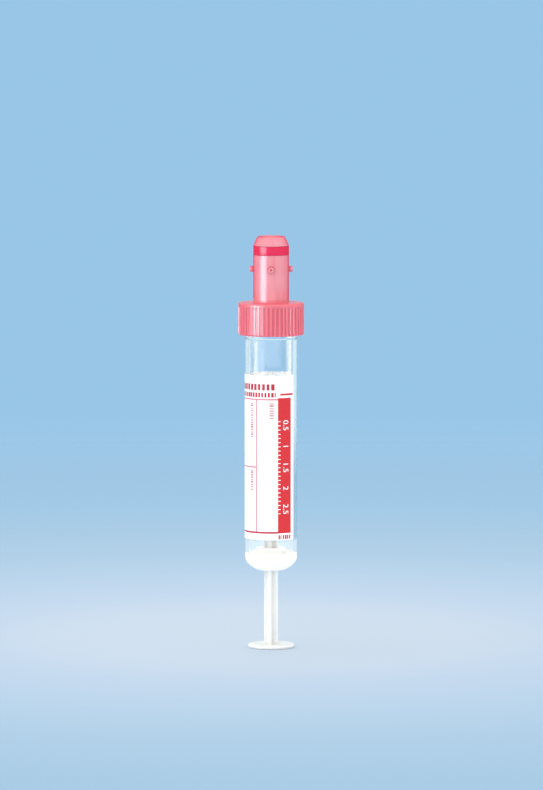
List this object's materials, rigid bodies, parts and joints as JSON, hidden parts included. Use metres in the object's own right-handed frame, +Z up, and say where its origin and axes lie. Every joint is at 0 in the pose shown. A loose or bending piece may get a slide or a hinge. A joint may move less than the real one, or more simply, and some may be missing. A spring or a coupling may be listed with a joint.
{
  "type": "blood collection tube",
  "caption": "Syringe-type blood collection tube with a screw cap and pegged nozzle, a labelled clear barrel, a rounded base, and a pull-out plunger it stands on.",
  "frame": {"origin": "centre of the thumb plate's underside, on the tube's axis", "axes": "+Z up along the tube towards the nozzle, -Y to the front, where the label's coloured bar faces"},
  "size_m": [0.0164, 0.0164, 0.1035],
  "materials": {
    "white_plastic": "satin",
    "clear_plastic": "gloss",
    "cap_plastic": "satin",
    "ring_plastic": "satin",
    "seal_rubber": "matte",
    "pale_rubber": "matte",
    "label_paper": "satin",
    "bead_plastic": "satin"
  },
  "bodies": {
    "rod": {"plunger_rod": "white_plastic"},
    "piston": {"piston": "white_plastic", "piston_seal": "seal_rubber", "bead_01": "bead_plastic", "bead_02": "bead_plastic", "bead_03": "bead_plastic", "bead_04": "bead_plastic", "bead_05": "bead_plastic", "bead_06": "bead_plastic", "bead_07": "bead_plastic", "bead_08": "bead_plastic", "bead_09": "bead_plastic", "bead_10": "bead_plastic", "bead_11": "bead_plastic", "bead_12": "bead_plastic", "bead_13": "bead_plastic", "bead_14": "bead_plastic", "bead_15": "bead_plastic", "bead_16": "bead_plastic", "bead_17": "bead_plastic", "bead_18": "bead_plastic", "bead_19": "bead_plastic", "bead_20": "bead_plastic", "bead_21": "bead_plastic", "bead_22": "bead_plastic", "bead_23": "bead_plastic", "bead_24": "bead_plastic", "bead_25": "bead_plastic", "bead_26": "bead_plastic", "bead_27": "bead_plastic", "bead_28": "bead_plastic", "bead_29": "bead_plastic", "bead_30": "bead_plastic", "bead_31": "bead_plastic", "bead_32": "bead_plastic", "bead_33": "bead_plastic", "bead_34": "bead_plastic", "bead_35": "bead_plastic", "bead_36": "bead_plastic", "bead_37": "bead_plastic", "bead_38": "bead_plastic", "bead_39": "bead_plastic", "bead_40": "bead_plastic", "bead_41": "bead_plastic", "bead_42": "bead_plastic"},
    "tube": {"tube_barrel": "clear_plastic", "tube_base": "white_plastic", "label": "label_paper"},
    "gasket": {"cap_gasket": "pale_rubber"},
    "cap": {"screw_cap": "cap_plastic", "colour_ring": "ring_plastic", "septum": "pale_rubber", "septum_retainer": "white_plastic"}
  },
  "joints": [
    {"name": "rod_spin", "type": "hinge", "parent": "rod", "child": "piston", "pos_m": [0, 0, 0.054], "axis": [0, 0, 1], "continuous": true},
    {"name": "plunger_stroke", "type": "slide", "parent": "piston", "child": "tube", "axis": [0, 0, 1], "range_m": [-0.012, 0.028]},
    {"name": "cap_lift", "type": "slide", "parent": "tube", "child": "gasket", "axis": [0, 0, 1], "range_m": [0, 0.0025]},
    {"name": "cap_turn", "type": "hinge", "parent": "gasket", "child": "cap", "pos_m": [0, 0, 0.083], "axis": [0, 0, 1], "range_deg": [0, 360]}
  ],
  "couplings": [
    {"joint": "cap_turn", "follows": "cap_lift", "rad_per_m": 2513.3}
  ]
}
